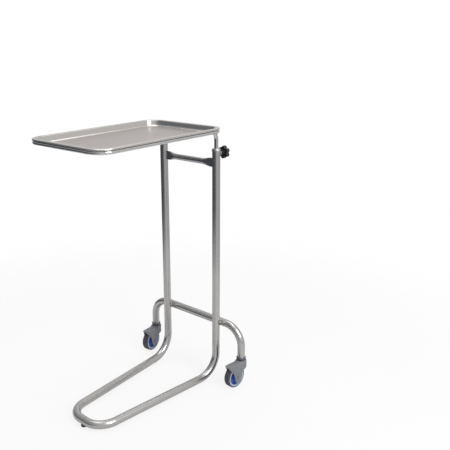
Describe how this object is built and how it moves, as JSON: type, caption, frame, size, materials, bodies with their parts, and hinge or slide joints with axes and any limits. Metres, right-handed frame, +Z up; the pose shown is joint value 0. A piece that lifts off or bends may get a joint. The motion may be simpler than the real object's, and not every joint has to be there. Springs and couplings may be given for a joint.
{
  "type": "instrument stand",
  "caption": "Rolling instrument stand: bent tube base, rear arch on swivel casters, height-adjustable rod carrier with a clamp knob, and a lift-off stainless tray",
  "frame": {"origin": "on the floor, under the middle of the whole stand", "axes": "+Z up; the tray reaches out towards -Y over the base loop; +X to the right seen from behind the posts, the side with the clamp knob on its back"},
  "size_m": [0.4443, 0.5362, 0.8642],
  "materials": {
    "frame_steel": "satin stainless tube",
    "rod_steel": "bright polished stainless rod",
    "tray_steel": "satin pan with a bright rolled rim",
    "bushing_metal": "bright domed cap",
    "guide_plastic": "white slide plastic",
    "fitting_steel": "zinc plated",
    "fork_plastic": "moulded grey, fine grain",
    "hub_blue": "moulded blue",
    "band_plastic": "pale blue-grey",
    "tyre_rubber": "dark grey non-marking rubber",
    "knob_black": "black moulded",
    "glide_rubber": "dark rubber"
  },
  "bodies": {
    "frame": {"main_frame": "frame_steel", "rear_arch": "frame_steel", "arch_welds": "frame_steel", "cross_brace": "frame_steel", "left_guide_bushing": "bushing_metal", "right_guide_bushing": "bushing_metal", "clamp_boss": "frame_steel", "left_caster_socket": "fitting_steel", "right_caster_socket": "fitting_steel", "left_caster_stem": "fitting_steel", "right_caster_stem": "fitting_steel", "front_glide": "glide_rubber", "glide_screw": "fitting_steel"},
    "tray_carrier": {"left_carrier_rod": "rod_steel", "right_carrier_rod": "rod_steel", "tray_ring": "rod_steel", "left_rod_guide": "guide_plastic", "right_rod_guide": "guide_plastic"},
    "tray": {"tray": "tray_steel"},
    "clamp": {"clamp_knob": "knob_black", "clamp_stud": "fitting_steel"},
    "left_caster": {"left_caster_fork": "fork_plastic", "left_caster_axle": "fitting_steel"},
    "left_wheel": {"left_tyre": "tyre_rubber", "left_wheel_band": "band_plastic", "left_wheel_hub": "hub_blue", "left_wheel_bush": "guide_plastic"},
    "right_caster": {"right_caster_fork": "fork_plastic", "right_caster_axle": "fitting_steel"},
    "right_wheel": {"right_tyre": "tyre_rubber", "right_wheel_band": "band_plastic", "right_wheel_hub": "hub_blue", "right_wheel_bush": "guide_plastic"}
  },
  "joints": [
    {"name": "tray_height", "type": "slide", "parent": "frame", "child": "tray_carrier", "axis": [0, 0, 1], "range_m": [-0.024, 0.41]},
    {"name": "tray_lift", "type": "slide", "parent": "tray_carrier", "child": "tray", "axis": [0, -0.0227, 0.9997], "range_m": [0, 0.1]},
    {"name": "clamp_turn", "type": "hinge", "parent": "frame", "child": "clamp", "pos_m": [0.115, 0.25365, 0.7785], "axis": [0, 1, 0], "range_deg": [0, 360]},
    {"name": "left_swivel", "type": "hinge", "parent": "frame", "child": "left_caster", "pos_m": [-0.2047, 0.24925, 0.08], "axis": [0, 0, 1], "continuous": true},
    {"name": "left_roll", "type": "hinge", "parent": "left_caster", "child": "left_wheel", "pos_m": [-0.20011, 0.21657, 0.038], "axis": [0.9903, 0.1392, 0], "continuous": true},
    {"name": "right_swivel", "type": "hinge", "parent": "frame", "child": "right_caster", "pos_m": [0.2047, 0.24925, 0.08], "axis": [0, 0, 1], "continuous": true},
    {"name": "right_roll", "type": "hinge", "parent": "right_caster", "child": "right_wheel", "pos_m": [0.2024, 0.21633, 0.038], "axis": [0.9976, -0.0698, 0], "continuous": true}
  ]
}
